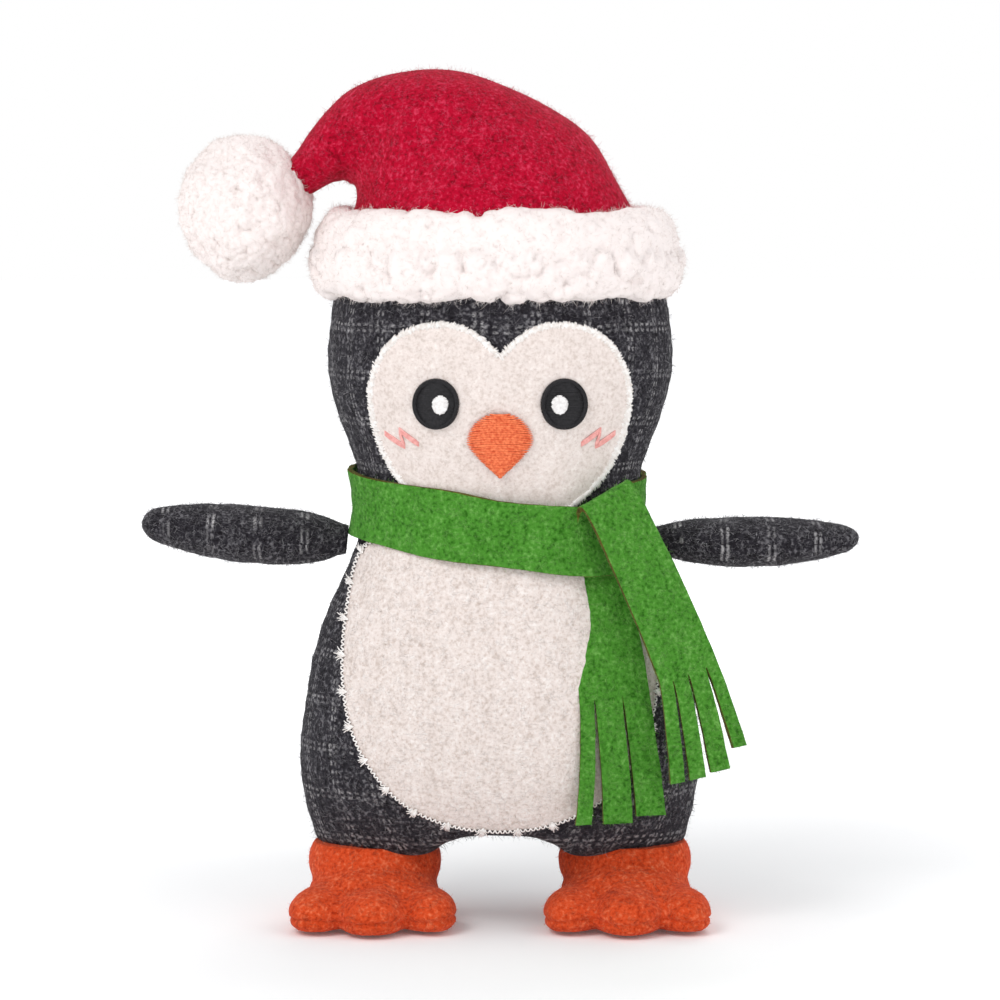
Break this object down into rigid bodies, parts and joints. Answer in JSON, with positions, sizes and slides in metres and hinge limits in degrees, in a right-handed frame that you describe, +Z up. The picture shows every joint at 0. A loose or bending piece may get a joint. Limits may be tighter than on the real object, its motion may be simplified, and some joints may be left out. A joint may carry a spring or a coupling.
{
  "type": "plush_toy",
  "caption": "Stuffed standing penguin with outstretched wings, felt feet, appliqued face and belly, fringed scarf and a floppy hat with a fleece pompom",
  "frame": {"origin": "on the floor, under the middle of the toy's bounding box", "axes": "+Z up; the toy faces -Y, so +X is its own left side"},
  "size_m": [0.252, 0.0962, 0.2999],
  "materials": {
    "checked_wool": "matte",
    "filling": "matte",
    "cream_felt": "matte",
    "oatmeal_wool": "matte",
    "cream_thread": "matte",
    "black_thread": "matte",
    "white_thread": "matte",
    "orange_thread": "matte",
    "pink_thread": "matte",
    "green_felt": "matte",
    "red_felt": "matte",
    "fleece": "matte",
    "orange_felt": "matte"
  },
  "bodies": {
    "torso": {"body_front_panel": "checked_wool", "body_back_panel": "checked_wool", "body_filling": "filling", "face_patch": "cream_felt", "face_stitching": "cream_thread", "belly_patch": "oatmeal_wool", "belly_stitching": "cream_thread", "left_eye": "black_thread", "left_eye_glint": "white_thread", "right_eye": "black_thread", "right_eye_glint": "white_thread", "beak": "orange_thread", "left_blush": "pink_thread", "right_blush": "pink_thread", "left_foot_upper": "orange_felt", "left_foot_sole": "orange_felt", "left_foot_filling": "filling", "right_foot_upper": "orange_felt", "right_foot_sole": "orange_felt", "right_foot_filling": "filling", "scarf_wrap": "green_felt", "hat_crown": "red_felt", "hat_brim": "fleece"},
    "left_wing": {"left_wing_top_panel": "checked_wool", "left_wing_bottom_panel": "checked_wool", "left_wing_filling": "filling"},
    "right_wing": {"right_wing_top_panel": "checked_wool", "right_wing_bottom_panel": "checked_wool", "right_wing_filling": "filling"},
    "tail_under": {"scarf_tail_under": "green_felt"},
    "tail_over": {"scarf_tail_over": "green_felt"},
    "hat_tip": {"hat_tip": "red_felt"},
    "pompom": {"pompom_cover": "fleece", "pompom_filling": "filling"}
  },
  "joints": [
    {"name": "left_wing_flap", "type": "hinge", "parent": "torso", "child": "left_wing", "pos_m": [0.05594, 0, 0.133], "axis": [0, -1, 0], "range_deg": [-35, 30], "stiffness_Nm_per_rad": 0.05},
    {"name": "right_wing_flap", "type": "hinge", "parent": "torso", "child": "right_wing", "pos_m": [-0.05594, 0, 0.133], "axis": [0, 1, 0], "range_deg": [-35, 30], "stiffness_Nm_per_rad": 0.05},
    {"name": "hat_tip_lift", "type": "hinge", "parent": "torso", "child": "hat_tip", "pos_m": [-0.04525, 0, 0.28002], "axis": [0, 1, 0], "range_deg": [0, 34]},
    {"name": "pompom_swing", "type": "hinge", "parent": "hat_tip", "child": "pompom", "pos_m": [-0.06853, 0, 0.26055], "axis": [0, 0, 1], "range_deg": [-25, 25], "stiffness_Nm_per_rad": 0.01},
    {"name": "scarf_over_lift", "type": "hinge", "parent": "torso", "child": "tail_over", "pos_m": [0.03879, -0.03307, 0.15059], "axis": [-0.8948, -0.2615, -0.3618], "range_deg": [0, 80]},
    {"name": "scarf_under_lift", "type": "hinge", "parent": "torso", "child": "tail_under", "pos_m": [0.03651, -0.03729, 0.12039], "axis": [-0.9457, -0.3149, -0.0801], "range_deg": [0, 80]}
  ],
  "couplings": [
    {"joint": "scarf_under_lift", "follows": "scarf_over_lift", "ratio": 1}
  ]
}
